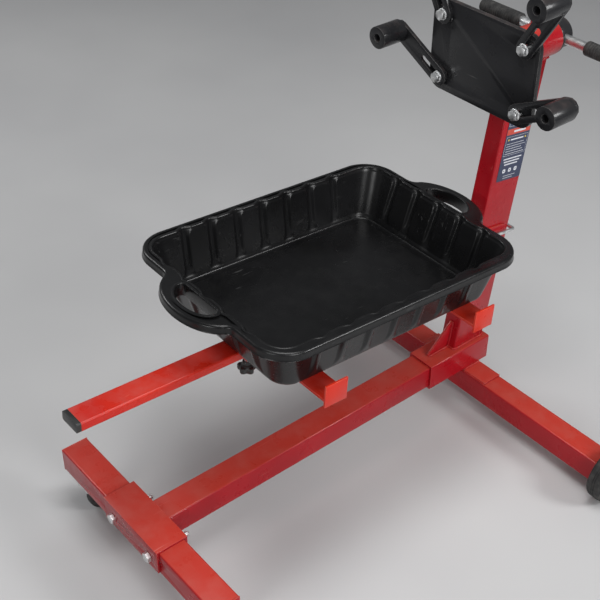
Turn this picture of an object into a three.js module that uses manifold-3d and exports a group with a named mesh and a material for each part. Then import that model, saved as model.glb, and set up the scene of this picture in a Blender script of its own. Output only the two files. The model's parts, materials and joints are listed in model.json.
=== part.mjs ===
// Engine stand: a red tube frame on four wheels, with a turning head for an engine
// at the top of a leaning post and a drip tray on an adjustable carrier.
// Millimetres, +Z up, floor at Z = 0, +Y runs from the front casters to the post.

import * as THREE from "three";
import * as BufferGeometryUtils from "three/addons/utils/BufferGeometryUtils.js";
import Module from "manifold-3d";

// ---- driving dimensions ----

const gap = 0.3; // clearance between pieces that touch or turn on each other
const plate = 5; // thickness of the frame's steel plates
const tubeWall = 3;
const tubeCorner = 4;

const spine = { width: 60, height: 55, top: 155, front: -707.7, rear: 165 };
const sleeve = { width: 70, height: 65, length: 185 };
const frontTube = { depth: 59, height: 55, halfLength: 260, y: -737.5 };
const saddleHalfWidth = 92;
const saddleBoltX = 62;
const rearTube = { depth: 54, height: 56, halfLength: 416, y: 137, top: 90 };
const rearPlateHalfWidth = 99;

const rearWheel = { radius: 62.5, width: 40, axleRadius: 8 };
const caster = { x: 215, wheelRadius: 37.5, wheelWidth: 24, trail: 28, axleRadius: 4 };

const post = { width: 44, depth: 92.5, lean: THREE.MathUtils.degToRad(8), footY: 82.6 };
const gusset = { length: 62, height: 66, thickness: 6 };
const label = { width: 74, height: 165, thickness: 0.6, inset: 15, foot: 420 };

const headAxis = 855;
const headTube = { radius: 38, bore: 32.3, front: 110, rear: 290 };
const headShaft = { radius: 32, bore: 26, front: 106, rear: 326 };
const flange = { width: 270, height: 190, thickness: 10, corner: 28, back: 105.7 };
const headSides = 32; // flats round the head tube and its shaft
const handleY = 306;
const lockPin = { y: 250, radius: 6, tip: 33, top: 95.5 }; // tip and top above the head axis
const armBolt = { x: 104, z: 66, radius: 6, travel: 14 };
const arm = { length: 130, width: 40, thickness: 8 };
const finger = { radius: 23, bore: 8.5, length: 62 };
const armAngles = { lower: THREE.MathUtils.degToRad(27), upper: THREE.MathUtils.degToRad(60) };

const barPitch = THREE.MathUtils.degToRad(3.4);
const bar = { width: 49, height: 20, wall: 2.5, top: 437.2, front: -852, rear: 108 };
const trayArm = { halfLength: 227, width: 51, thickness: 5, tabBelow: 12, tabAbove: 35 };
const trayArmPlaces = { front: -460, rear: -80.5 };
const clampOffset = -22;
const uBolt = { x: 36, radius: 4, height: 296 };
const tray = {
  width: 380,
  length: 525,
  depth: 110.7,
  wall: 3,
  corner: 40,
  topWidth: 422,
  topLength: 586,
  rimWidth: 463,
  rimLength: 622,
  rimCorner: 70,
  lip: 17,
  x: -22,
  y: -267,
  yaw: THREE.MathUtils.degToRad(-0.8),
};
const trayHandle = { halfWidth: 102, reach: 53, holeHalfWidth: 56, holeInset: 7, holeReach: 40 };

// ---- materials ----

const paint = (color, roughness, metalness) =>
  new THREE.MeshStandardMaterial({ color, roughness, metalness });
const redPaint = paint(0x9c1420, 0.35, 0.1);
const orangePaint = paint(0xb81e16, 0.35, 0.1);
const blackPaint = paint(0x1b1b1c, 0.45, 0.2);
const zinc = paint(0xb9bcbf, 0.35, 0.9);
const blackPlastic = paint(0x151617, 0.3, 0);
const rubber = paint(0x1a1a1a, 0.75, 0);
const labelBlue = paint(0x1d2b4a, 0.4, 0);

// ---- solids and booleans ----

const wasm = await Module();
wasm.setup();

function toSolid(geometry) {
  const bare = geometry.clone();
  bare.deleteAttribute("normal");
  bare.deleteAttribute("uv");
  const merged = BufferGeometryUtils.mergeVertices(bare, 1e-4);
  const vertProperties = new Float32Array(merged.attributes.position.array);
  const triVerts = new Uint32Array(merged.index.array);
  return new wasm.Manifold(new wasm.Mesh({ numProp: 3, vertProperties, triVerts }));
}

function toGeometry(solid) {
  const mesh = solid.getMesh();
  const geometry = new THREE.BufferGeometry();
  geometry.setAttribute("position", new THREE.BufferAttribute(mesh.vertProperties, 3));
  geometry.setIndex(new THREE.BufferAttribute(mesh.triVerts, 1));
  geometry.computeVertexNormals();
  return geometry;
}

const join = (...geometries) =>
  toGeometry(geometries.map(toSolid).reduce((whole, piece) => whole.add(piece)));

const cut = (geometry, ...tools) =>
  toGeometry(tools.map(toSolid).reduce((rest, tool) => rest.subtract(tool), toSolid(geometry)));

const common = (first, second) => toGeometry(toSolid(first).intersect(toSolid(second)));

// ---- basic shapes ----

// A box given by its lowest and highest corner.
function box([x0, y0, z0], [x1, y1, z1]) {
  const geometry = new THREE.BoxGeometry(x1 - x0, y1 - y0, z1 - z0);
  return geometry.translate((x0 + x1) / 2, (y0 + y1) / 2, (z0 + z1) / 2);
}

// A round bar from one end to the other along the named axis, centred on [a, b],
// the two other coordinates in X, Y, Z order.
function round(axis, [a, b], radius, from, to, segments = 16) {
  const geometry = new THREE.CylinderGeometry(radius, radius, to - from, segments);
  const middle = (from + to) / 2;
  if (axis === "x") return geometry.rotateZ(-Math.PI / 2).translate(middle, a, b);
  if (axis === "y") return geometry.translate(a, middle, b);
  return geometry.rotateX(Math.PI / 2).translate(a, b, middle);
}

// A hexagon bar, acrossFlats wide.
const hexagon = (axis, centre, acrossFlats, from, to) =>
  round(axis, centre, acrossFlats / Math.sqrt(3), from, to, 6);

function roundedRectangle(width, height, radius, Kind = THREE.Shape) {
  const x = width / 2;
  const y = height / 2;
  const shape = new Kind();
  shape.moveTo(x - radius, -y);
  shape.absarc(x - radius, radius - y, radius, -Math.PI / 2, 0);
  shape.absarc(x - radius, y - radius, radius, 0, Math.PI / 2);
  shape.absarc(radius - x, y - radius, radius, Math.PI / 2, Math.PI);
  shape.absarc(radius - x, radius - y, radius, Math.PI, 1.5 * Math.PI);
  shape.closePath();
  return shape;
}

// A slot with round ends, its centres at (0, 0) and (length, 0).
function slotOutline(length, radius) {
  const shape = new THREE.Shape();
  shape.absarc(length, 0, radius, -Math.PI / 2, Math.PI / 2);
  shape.absarc(0, 0, radius, Math.PI / 2, 1.5 * Math.PI);
  shape.closePath();
  return shape;
}

const prism = (shape, depth, curveSegments = 3) =>
  new THREE.ExtrudeGeometry(shape, { depth, bevelEnabled: false, curveSegments });

// The shape's x stays X, its y becomes Z, and it runs along Y.
const alongY = (shape, from, to, curveSegments) =>
  prism(shape, to - from, curveSegments).rotateX(Math.PI / 2).translate(0, to, 0);

// The shape's x becomes Y, its y becomes Z, and it runs along X.
const alongX = (shape, from, to, curveSegments) =>
  prism(shape, to - from, curveSegments)
    .rotateX(Math.PI / 2)
    .rotateZ(Math.PI / 2)
    .translate(from, 0, 0);

function tubeOutline(width, height, wall) {
  const shape = roundedRectangle(width, height, tubeCorner);
  const inner = Math.max(tubeCorner - wall, 1);
  shape.holes.push(roundedRectangle(width - 2 * wall, height - 2 * wall, inner, THREE.Path));
  return shape;
}

// A wheel turned on the X axis, its profile given as [radius, x] points.
function wheelOnX(profile, segments) {
  const points = [...profile, profile[0]].map(([radius, x]) => new THREE.Vector2(radius, x));
  return new THREE.LatheGeometry(points, segments).rotateZ(-Math.PI / 2);
}

// ---- frames that lean or pitch with the real pieces ----

const frameAt = (x, y, z, pitch, yaw = 0) =>
  new THREE.Matrix4()
    .makeTranslation(x, y, z)
    .multiply(new THREE.Matrix4().makeRotationX(-pitch))
    .multiply(new THREE.Matrix4().makeRotationZ(yaw));

const sleeveTop = spine.top + plate;
const postFrame = frameAt(0, post.footY, sleeveTop, post.lean);
const carrierFrame = frameAt(0, 0, bar.top, barPitch);
const trayFrame = carrierFrame
  .clone()
  .multiply(frameAt(tray.x, tray.y, trayArm.thickness + 2 * gap, 0, tray.yaw));
const inFrame = (geometry, frame) => geometry.applyMatrix4(frame);

// ---- assembly ----

const assembly = new THREE.Group();

function add(name, geometry, material) {
  const mesh = new THREE.Mesh(geometry, material);
  mesh.name = name;
  assembly.add(mesh);
}

const sides = [
  { side: "left", sign: -1 },
  { side: "right", sign: 1 },
];
const spineMiddle = spine.top - spine.height / 2;

// ---- base ----

function addSpineAndSleeve() {
  const screwY = 45;
  const screwHole = round("z", [0, screwY], 5.3, spine.top - spine.height - 10, spineMiddle);
  const spineTube = alongY(
    tubeOutline(spine.width, spine.height, tubeWall),
    spine.front,
    spine.rear,
  ).translate(0, 0, spineMiddle);
  add("spine_tube", cut(spineTube, screwHole), redPaint);

  const outline = roundedRectangle(sleeve.width, sleeve.height, tubeCorner);
  const fit = 2 * gap;
  outline.holes.push(
    roundedRectangle(spine.width + fit, spine.height + fit, tubeCorner, THREE.Path),
  );
  const sleeveTube = alongY(outline, 0, sleeve.length).translate(0, 0, spineMiddle);
  add("sleeve", cut(sleeveTube, screwHole), redPaint);

  const under = sleeveTop - sleeve.height - gap;
  add(
    "sleeve_screw",
    join(
      hexagon("z", [0, screwY], 17, under - 7, under),
      round("z", [0, screwY], 5, under - 1, under + 14),
    ),
    zinc,
  );
}

function addFrontTube() {
  const { depth, height, halfLength, y } = frontTube;
  const flangeReach = y + depth / 2;
  const holes = sides.map(({ sign }) =>
    round("y", [sign * saddleBoltX, spineMiddle], 6.3, y - 60, y + 60),
  );
  const outline = tubeOutline(depth, height, tubeWall);
  const tube = alongX(outline, -halfLength, halfLength).translate(0, y, spineMiddle);
  add("front_cross_tube", cut(tube, ...holes), redPaint);

  const low = spine.top - 50;
  const top = spine.top + gap;
  const near = y - depth / 2 - gap;
  const far = flangeReach + gap;
  const channel = join(
    box([-saddleHalfWidth, near - plate, top], [saddleHalfWidth, far + plate, top + plate]),
    box([-saddleHalfWidth, near - plate, low], [saddleHalfWidth, near, top + 1]),
    box([-saddleHalfWidth, far, low], [saddleHalfWidth, far + plate, top + 1]),
  );
  const spineSlot = box(
    [-spine.width / 2 - gap, far - 1, low - 1],
    [spine.width / 2 + gap, far + plate + 1, top],
  );
  add("saddle", cut(channel, spineSlot, ...holes), redPaint);

  for (const { side, sign } of sides) {
    const centre = [sign * saddleBoltX, spineMiddle];
    const headFace = near - plate - gap;
    const nutFace = far + plate + gap;
    add(
      `saddle_bolt_${side}`,
      join(
        hexagon("y", centre, 19, headFace - 8, headFace),
        round("y", centre, 6, headFace - 1, nutFace + 20),
        hexagon("y", centre, 19, nutFace, nutFace + 11),
      ),
      zinc,
    );
    const end = sign * (halfLength + gap);
    add(
      `front_end_plate_${side}`,
      box(
        [Math.min(end, end + sign * 3), y - depth / 2, spineMiddle - height / 2],
        [Math.max(end, end + sign * 3), y + depth / 2, spineMiddle + height / 2],
      ),
      redPaint,
    );
  }
}

function addRearTube() {
  const { depth, height, halfLength, y, top } = rearTube;
  const middle = top - height / 2;
  const outline = tubeOutline(depth, height, tubeWall);
  const tube = alongX(outline, -halfLength, halfLength).translate(0, y, middle);
  add("rear_cross_tube", tube, redPaint);
  add(
    "rear_plate",
    box(
      [-rearPlateHalfWidth, y - depth / 2 + 2, top + gap],
      [rearPlateHalfWidth, y + depth / 2 - 2, top + plate - gap],
    ),
    redPaint,
  );
  for (const { side, sign } of sides) {
    const inner = halfLength + gap;
    const endPlate = box(
      [inner, y - depth / 2, middle - height / 2],
      [inner + 4, y + depth / 2, middle + height / 2],
    );
    add(`rear_end_plate_${side}`, mirrored(endPlate, sign), redPaint);

    const start = inner + 4 + gap;
    const centre = [y, rearWheel.radius];
    const hub = start + 3.6;
    const outer = hub + 2 * gap + rearWheel.width;
    const axle = join(
      round("x", centre, 14, start, hub),
      round("x", centre, rearWheel.axleRadius, start + 1, outer + 13),
      hexagon("x", centre, 24, outer, outer + 10),
    );
    add(`rear_axle_${side}`, mirrored(axle, sign), zinc);

    const half = rearWheel.width / 2;
    const rim = rearWheel.radius;
    const wheel = wheelOnX(
      [
        [rearWheel.axleRadius + gap, -half],
        [20, -half],
        [24, -10],
        [42, -10],
        [46, 2 - half],
        [rim - 5, 2 - half],
        [rim, 8 - half],
        [rim, half - 8],
        [rim - 5, half - 2],
        [46, half - 2],
        [42, 10],
        [24, 10],
        [20, half],
        [rearWheel.axleRadius + gap, half],
      ],
      32,
    ).translate(hub + gap + half, centre[0], centre[1]);
    add(`rear_wheel_${side}`, mirrored(wheel, sign), rubber);
  }
}

// The same piece on the other side of the X = 0 plane, with its faces turned right.
function mirrored(geometry, sign) {
  if (sign > 0) return geometry;
  return toGeometry(toSolid(geometry).mirror([1, 0, 0]));
}

function addCaster({ side, sign }) {
  const x = sign * caster.x;
  const { y } = frontTube;
  const under = spine.top - frontTube.height - gap;
  add(
    `caster_plate_${side}`,
    join(box([x - 38, y - 28, under - 3], [x + 38, y + 28, under]),
      round("z", [x, y], 24, under - 6, under - 2)),
    zinc,
  );

  const crown = under - 6 - gap;
  const axleY = y + caster.trail;
  const axleZ = caster.wheelRadius;
  const legOutline = new THREE.Shape();
  legOutline.moveTo(y - 20, crown - 5);
  legOutline.lineTo(y - 20, crown - 20);
  legOutline.lineTo(axleY - 10, axleZ - 3);
  legOutline.absarc(axleY, axleZ, 10, 1.1 * Math.PI, 2.05 * Math.PI);
  legOutline.lineTo(y + 20, crown - 5);
  legOutline.closePath();
  const legs = sides.map((leg) => alongX(legOutline, -1.5, 1.5).translate(x + leg.sign * 16, 0, 0));
  const bore = round("x", [axleY, axleZ], caster.axleRadius + gap, x - 30, x + 30);
  const fork = join(
    round("z", [x, y], 22, crown - 5, crown),
    box([x - 17.5, y - 20, crown - 8], [x + 17.5, y + 20, crown - 4]),
    ...legs,
  );
  add(`caster_fork_${side}`, cut(fork, bore), zinc);

  const centre = [axleY, axleZ];
  add(
    `caster_axle_${side}`,
    join(
      hexagon("x", centre, 13, x - 22.5, x - 17.8),
      round("x", centre, caster.axleRadius, x - 20, x + 20),
      hexagon("x", centre, 13, x + 17.8, x + 22.5),
    ),
    zinc,
  );
  const half = caster.wheelWidth / 2;
  const rim = caster.wheelRadius;
  const wheel = wheelOnX(
    [
      [caster.axleRadius + gap, -half],
      [12, -half],
      [14, 4 - half],
      [rim - 10, 4 - half],
      [rim - 8, 1 - half],
      [rim, 5 - half],
      [rim, half - 5],
      [rim - 8, half - 1],
      [rim - 10, half - 4],
      [14, half - 4],
      [12, half],
      [caster.axleRadius + gap, half],
    ],
    28,
  ).translate(x, axleY, axleZ);
  add(`caster_wheel_${side}`, wheel, rubber);
}

// ---- post and head ----

function addPost() {
  const { width, depth, lean, footY } = post;
  const tube = inFrame(
    prism(tubeOutline(width, depth, tubeWall), 800).translate(0, depth / 2, -40),
    postFrame,
  );
  const trim = box([-100, 0, sleeveTop + gap], [100, 400, headAxis]);
  const cope = round("y", [0, headAxis], headTube.radius + gap, 0, 400, headSides);
  add("post", cut(common(tube, trim), cope), redPaint);

  const foot = sleeveTop + gap;
  const slope = Math.tan(lean);
  const face = footY - 2 * gap;
  const side = new THREE.Shape();
  side.moveTo(footY - gusset.length, foot);
  side.lineTo(face, foot);
  side.lineTo(face + slope * gusset.height, foot + gusset.height);
  side.lineTo(face + slope * gusset.height - 4, foot + gusset.height);
  side.lineTo(footY - gusset.length, foot + 4);
  side.closePath();
  add("gusset", alongX(side, -gusset.thickness / 2, gusset.thickness / 2), redPaint);

  const start = width / 2 + gap;
  add(
    "post_label",
    inFrame(
      box(
        [start, label.inset, label.foot],
        [start + label.thickness, label.inset + label.width, label.foot + label.height],
      ),
      postFrame,
    ),
    labelBlue,
  );
}

function addHeadTube() {
  const { radius, bore, front, rear } = headTube;
  const crown = headAxis + radius;
  const shell = join(
    round("y", [0, headAxis], radius, front, rear, headSides),
    hexagon("z", [0, lockPin.y], 26, crown - 6, crown + 14),
  );
  add(
    "head_tube",
    cut(
      shell,
      round("y", [0, headAxis], bore, front - 1, rear + 1, headSides),
      round("z", [0, lockPin.y], lockPin.radius + gap, headAxis, crown + 20),
    ),
    redPaint,
  );
  const top = headAxis + lockPin.top;
  add(
    "lock_pin",
    join(
      round("z", [0, lockPin.y], lockPin.radius, headAxis + lockPin.tip, top - 4),
      round("z", [0, lockPin.y], 14, top - 8, top),
      round("x", [lockPin.y, top - 4], 5, -26, 26),
    ),
    zinc,
  );
}

function addHeadShaft() {
  const { radius, bore, front, rear } = headShaft;
  const centre = [0, headAxis];
  const collar = round("y", centre, 37, headTube.rear + 2 * gap, headTube.rear + 7, headSides);
  const body = join(round("y", centre, radius, front, rear, headSides), collar);
  const stops = [0, 1, 2, 3].map((step) =>
    round("z", [0, lockPin.y], lockPin.radius + gap, -50, 50)
      .rotateY((step * Math.PI) / 4)
      .translate(0, 0, headAxis),
  );
  const hollow = round("y", centre, bore, front - 1, rear + 1, headSides);
  const handleHole = round("x", [handleY, headAxis], 10.3, -50, 50);
  add("head_shaft", cut(body, hollow, handleHole, ...stops), blackPaint);

  const slots = armPlaces.map(({ signX, signZ }) => {
    const direction = Math.atan2(signZ * armBolt.z, signX * armBolt.x);
    const { travel, radius: boltRadius } = armBolt;
    return alongY(slotOutline(2 * travel, boltRadius + 0.7), -20, 20)
      .translate(-travel, 0, 0)
      .rotateY(-direction)
      .translate(signX * armBolt.x, flange.back, headAxis + signZ * armBolt.z);
  });
  const outline = roundedRectangle(flange.width, flange.height, flange.corner);
  const flangePlate = alongY(outline, flange.back - flange.thickness, flange.back);
  add("flange_plate", cut(flangePlate.translate(0, 0, headAxis), ...slots), blackPaint);

  const half = 190;
  add("turning_handle", round("x", [handleY, headAxis], 10, -half, half), zinc);
  for (const { side, sign } of sides) {
    const grip = cut(
      round("x", [handleY, headAxis], 15, half - 104, half + 4),
      round("x", [handleY, headAxis], 10.3, half - 105, half + gap),
    );
    add(`handle_grip_${side}`, mirrored(grip, sign), rubber);
  }
}

const armPlaces = [
  { name: "lower_right", signX: 1, signZ: -1 },
  { name: "lower_left", signX: -1, signZ: -1 },
  { name: "upper_right", signX: 1, signZ: 1 },
  { name: "upper_left", signX: -1, signZ: 1 },
];

function addArm({ name, signX, signZ }) {
  const x = signX * armBolt.x;
  const z = headAxis + signZ * armBolt.z;
  const back = flange.back - flange.thickness - gap;
  const front = back - arm.thickness;
  const rise = signZ > 0 ? armAngles.upper : armAngles.lower;
  const turn = signX > 0 ? rise : Math.PI - rise;
  const strip = cut(
    alongY(slotOutline(arm.length, arm.width / 2), front, back),
    alongY(slotOutline(50, armBolt.radius + 0.7), front - 1, back + 1),
  );
  add(`arm_${name}`, strip.rotateY(-turn).translate(x, 0, z), blackPaint);

  const tipX = x + arm.length * Math.cos(turn);
  const tipZ = z + arm.length * Math.sin(turn);
  const tube = cut(
    round("y", [tipX, tipZ], finger.radius, front - gap - finger.length, front - gap, 24),
    round("y", [tipX, tipZ], finger.bore, front - finger.length - 5, front + 5),
  );
  add(`finger_${name}`, tube, blackPaint);

  const headFace = front - gap;
  const nutFace = flange.back + gap;
  add(
    `arm_bolt_${name}`,
    join(
      round("y", [x, z], 13, headFace - 2.5, headFace),
      hexagon("y", [x, z], 19, headFace - 10.5, headFace - 2),
      round("y", [x, z], armBolt.radius, headFace - 3, nutFace + 16),
      hexagon("y", [x, z], 19, nutFace, nutFace + 10),
    ),
    zinc,
  );
}

// ---- tray carrier ----

function addCarrier() {
  const middle = -bar.height / 2;
  const tube = alongY(tubeOutline(bar.width, bar.height, bar.wall), bar.front, bar.rear);
  add("tray_bar", inFrame(tube.translate(0, 0, middle), carrierFrame), orangePaint);
  const plugWidth = bar.width - 2 * bar.wall - 1;
  const plugHeight = bar.height - 2 * bar.wall - 1;
  const cap = join(
    alongY(roundedRectangle(bar.width, bar.height, tubeCorner), bar.front - 9, bar.front - gap),
    alongY(roundedRectangle(plugWidth, plugHeight, 1), bar.front - 4, bar.front + 18),
  );
  add("tray_bar_cap", inFrame(cap.translate(0, 0, middle), carrierFrame), blackPlastic);

  const socketWall = 3.5;
  const socketWidth = bar.width + 2 * (socketWall + gap);
  const socketHeight = bar.height + 2 * (socketWall + gap);
  const socket = alongY(roundedRectangle(socketWidth, socketHeight, tubeCorner), 50, 116);
  const socketHole = alongY(
    roundedRectangle(bar.width + 2 * gap, bar.height + 2 * gap, tubeCorner),
    49,
    bar.rear + gap,
  );
  const cheekX = post.width / 2 + gap;
  const low = uBolt.height - 60;
  const high = uBolt.height + 14;
  const front = -gap - 6;
  const clampPlate = box([-52, front, low], [52, -gap, high + 6]);
  const cheekOutline = new THREE.Shape();
  cheekOutline.moveTo(front + 1, low + 10);
  cheekOutline.lineTo(70, low + 10);
  cheekOutline.absarc(64, high - 20, 20, 0, Math.PI / 2);
  cheekOutline.lineTo(front + 1, high);
  cheekOutline.closePath();
  const cheeks = [alongX(cheekOutline, cheekX, cheekX + 4), alongX(cheekOutline, -cheekX - 4, -cheekX)];
  const legs = sides.map(({ sign }) =>
    round("y", [sign * uBolt.x, uBolt.height], uBolt.radius + gap, front - 20, 20),
  );
  const bodyPieces = join(clampPlate, ...cheeks);
  const bracket = cut(
    join(
      inFrame(cut(bodyPieces, ...legs), postFrame),
      inFrame(socket.translate(0, 0, middle), carrierFrame),
    ),
    inFrame(socketHole.translate(0, 0, middle), carrierFrame),
    inFrame(box([-cheekX, -gap, 0], [cheekX, 200, 500]), postFrame),
  );
  add("tray_bracket", bracket, redPaint);

  const back = post.depth + gap + uBolt.radius;
  const bend = 10;
  const start = front - 18;
  const loop = new THREE.CurvePath();
  const at = (x, y) => new THREE.Vector3(x, y, uBolt.height);
  loop.add(new THREE.LineCurve3(at(-uBolt.x, start), at(-uBolt.x, back - bend)));
  loop.add(new THREE.QuadraticBezierCurve3(
    at(-uBolt.x, back - bend), at(-uBolt.x, back), at(bend - uBolt.x, back)));
  loop.add(new THREE.LineCurve3(at(bend - uBolt.x, back), at(uBolt.x - bend, back)));
  loop.add(new THREE.QuadraticBezierCurve3(
    at(uBolt.x - bend, back), at(uBolt.x, back), at(uBolt.x, back - bend)));
  loop.add(new THREE.LineCurve3(at(uBolt.x, back - bend), at(uBolt.x, start)));
  const section = new THREE.Shape();
  section.absarc(0, 0, uBolt.radius, 0, 2 * Math.PI);
  const rod = new THREE.ExtrudeGeometry(section, {
    steps: 28,
    curveSegments: 4,
    extrudePath: loop,
  });
  const nuts = sides.map(({ sign }) =>
    hexagon("y", [sign * uBolt.x, uBolt.height], 13, front - gap - 7, front - gap),
  );
  add("tray_u_bolt", inFrame(join(rod, ...nuts), postFrame), zinc);
}

// A cross arm that clamps round the bar and carries the tray between its two tabs.
function addTrayArm(name, place) {
  const { halfLength, width, thickness, tabBelow, tabAbove } = trayArm;
  const half = width / 2;
  const clampHalf = bar.width / 2 + gap;
  const under = -bar.height - gap;
  const clampFrom = clampOffset - 23;
  const clampTo = clampOffset + 23;
  const pieces = [box([-halfLength + 1, -half, gap], [halfLength - 1, half, gap + thickness])];
  for (const { sign } of sides) {
    const tab = box([halfLength - 4, -half, -tabBelow], [halfLength, half, tabAbove]);
    const strap = box([clampHalf, clampFrom, under - 4], [clampHalf + 4, clampTo, gap + 1]);
    pieces.push(mirrored(tab, sign), mirrored(strap, sign));
  }
  pieces.push(box([-clampHalf - 4, clampFrom, under - 4], [clampHalf + 4, clampTo, under]));
  pieces.push(hexagon("z", [0, clampOffset], 19, under - 12, under - 3));
  const stud = round("z", [0, clampOffset], 5.3, under - 20, under + 2);
  const placed = cut(join(...pieces), stud).translate(0, place, 0);
  add(`tray_arm_${name}`, inFrame(placed, carrierFrame), orangePaint);

  const lobes = 5;
  const outline = new THREE.Shape();
  const steps = 8 * lobes;
  for (let step = 0; step < steps; step += 1) {
    const angle = (2 * Math.PI * step) / steps;
    const radius = 16.5 + 2.5 * Math.cos(lobes * angle);
    const point = [radius * Math.cos(angle), radius * Math.sin(angle)];
    if (step === 0) outline.moveTo(...point);
    else outline.lineTo(...point);
  }
  outline.closePath();
  const knob = join(
    prism(outline, 14).translate(0, 0, -73),
    round("z", [0, 0], 9, -60, -50, 20),
    round("z", [0, 0], 5, -55, under, 16),
  );
  add(
    `tray_knob_${name}`,
    inFrame(knob.translate(0, place + clampOffset, 0), carrierFrame),
    blackPlastic,
  );
}

// A block with rounded corners whose top outline is larger than its bottom one.
function tapered(width, length, topWidth, topLength, corner, height) {
  const geometry = prism(roundedRectangle(width, length, corner), height, 5);
  const points = geometry.attributes.position;
  for (let i = 0; i < points.count; i += 1) {
    if (points.getZ(i) > height / 2) {
      points.setX(i, (points.getX(i) * topWidth) / width);
      points.setY(i, (points.getY(i) * topLength) / length);
    }
  }
  return geometry;
}

function handleOutline(halfWidth, reach, Kind) {
  const shape = new Kind();
  shape.moveTo(halfWidth, 0);
  shape.absellipse(0, 0, halfWidth, reach, 0, Math.PI, false, 0);
  shape.closePath();
  return shape;
}

// The outline of the rim or of what is cut from it: inset moves it inwards.
function rimBlock(inset, height) {
  const { rimWidth, rimLength, rimCorner } = tray;
  const outline = roundedRectangle(rimWidth - 2 * inset, rimLength - 2 * inset, rimCorner - inset);
  const overlap = 12;
  const swelling = () =>
    prism(
      handleOutline(trayHandle.halfWidth - inset, trayHandle.reach + overlap - inset, THREE.Shape),
      height,
      8,
    ).translate(0, rimLength / 2 - overlap, 0);
  return join(prism(outline, height, 6), swelling(), swelling().rotateZ(Math.PI));
}

// The basin and the rim are one moulding, in two nodes with a gap for simpler collision.
function addTray() {
  const { width, length, depth, wall, corner, topWidth, topLength, rimLength, lip } = tray;
  const rimBase = depth - wall;
  const inset = 2 * wall;
  const cavity = tapered(
    width - inset,
    length - inset,
    topWidth - inset,
    topLength - inset,
    corner - wall,
    depth,
  ).translate(0, 0, wall);
  const block = tapered(width, length, topWidth, topLength, corner, depth);
  const aboveBasin = box([-300, -400, rimBase - gap], [300, 400, depth + 1]);
  add("drip_tray", inFrame(cut(block, cavity, aboveBasin), trayFrame), blackPlastic);

  const hole = prism(
    handleOutline(trayHandle.holeHalfWidth, trayHandle.holeReach, THREE.Shape),
    2 * lip,
    6,
  ).translate(0, rimLength / 2 - trayHandle.holeInset, depth - lip);
  const rim = cut(
    rimBlock(0, lip).translate(0, 0, depth - lip),
    rimBlock(wall, lip).translate(0, 0, rimBase - lip),
    cavity,
    hole,
    hole.clone().rotateZ(Math.PI),
  );
  add("tray_rim", inFrame(rim, trayFrame), blackPlastic);
}

// ---- build ----

addSpineAndSleeve();
addFrontTube();
addRearTube();
sides.forEach(addCaster);
addPost();
addHeadTube();
addHeadShaft();
armPlaces.forEach(addArm);
addCarrier();
addTrayArm("front", trayArmPlaces.front);
addTrayArm("rear", trayArmPlaces.rear);
addTray();

// The origin is on the floor, under the middle of the stand's bounding box.
const bounds = new THREE.Box3().setFromObject(assembly);
assembly.position.y = -(bounds.min.y + bounds.max.y) / 2;

const model = new THREE.Group();
model.add(assembly);
export default model;
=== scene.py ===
"""Looks of the engine stand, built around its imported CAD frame.

Shapes are given in millimetres and become metres when a piece is built.
"""

import json
import math

import bmesh
import bpy
from mathutils import Matrix, Vector
from mathutils.geometry import tessellate_polygon


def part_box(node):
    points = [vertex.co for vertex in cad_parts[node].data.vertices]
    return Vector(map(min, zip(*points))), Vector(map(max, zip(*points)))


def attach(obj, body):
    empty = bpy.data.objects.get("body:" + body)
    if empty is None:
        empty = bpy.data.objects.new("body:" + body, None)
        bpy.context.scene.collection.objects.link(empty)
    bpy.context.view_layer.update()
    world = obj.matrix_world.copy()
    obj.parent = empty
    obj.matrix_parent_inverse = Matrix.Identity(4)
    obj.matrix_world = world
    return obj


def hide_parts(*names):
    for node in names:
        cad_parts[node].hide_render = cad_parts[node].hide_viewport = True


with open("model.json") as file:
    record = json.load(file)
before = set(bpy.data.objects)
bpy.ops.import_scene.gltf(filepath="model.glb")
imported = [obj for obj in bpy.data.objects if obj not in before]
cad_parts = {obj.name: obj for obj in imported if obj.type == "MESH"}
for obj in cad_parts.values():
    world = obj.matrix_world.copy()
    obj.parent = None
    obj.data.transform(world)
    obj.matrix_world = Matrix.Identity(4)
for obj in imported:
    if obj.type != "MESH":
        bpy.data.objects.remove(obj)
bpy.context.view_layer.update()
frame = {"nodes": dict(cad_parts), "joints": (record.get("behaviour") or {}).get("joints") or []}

METRE = 1000.0
SIDES = (("left", -1), ("right", 1))
joints = {joint["name"]: joint for joint in frame["joints"]}


def at(joint):
    """Where a hinge is, in millimetres."""
    return Vector(joints[joint]["pos_m"]) * METRE


def corners(node):
    """Lowest and highest corner of a CAD node, in millimetres."""
    low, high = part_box(node)
    return low * METRE, high * METRE


def move(x=0.0, y=0.0, z=0.0):
    return Matrix.Translation((x, y, z))


def turn(degrees, axis):
    return Matrix.Rotation(math.radians(degrees), 4, axis)


ALONG_X = turn(90, "Y")


# ---- finishes ----


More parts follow.
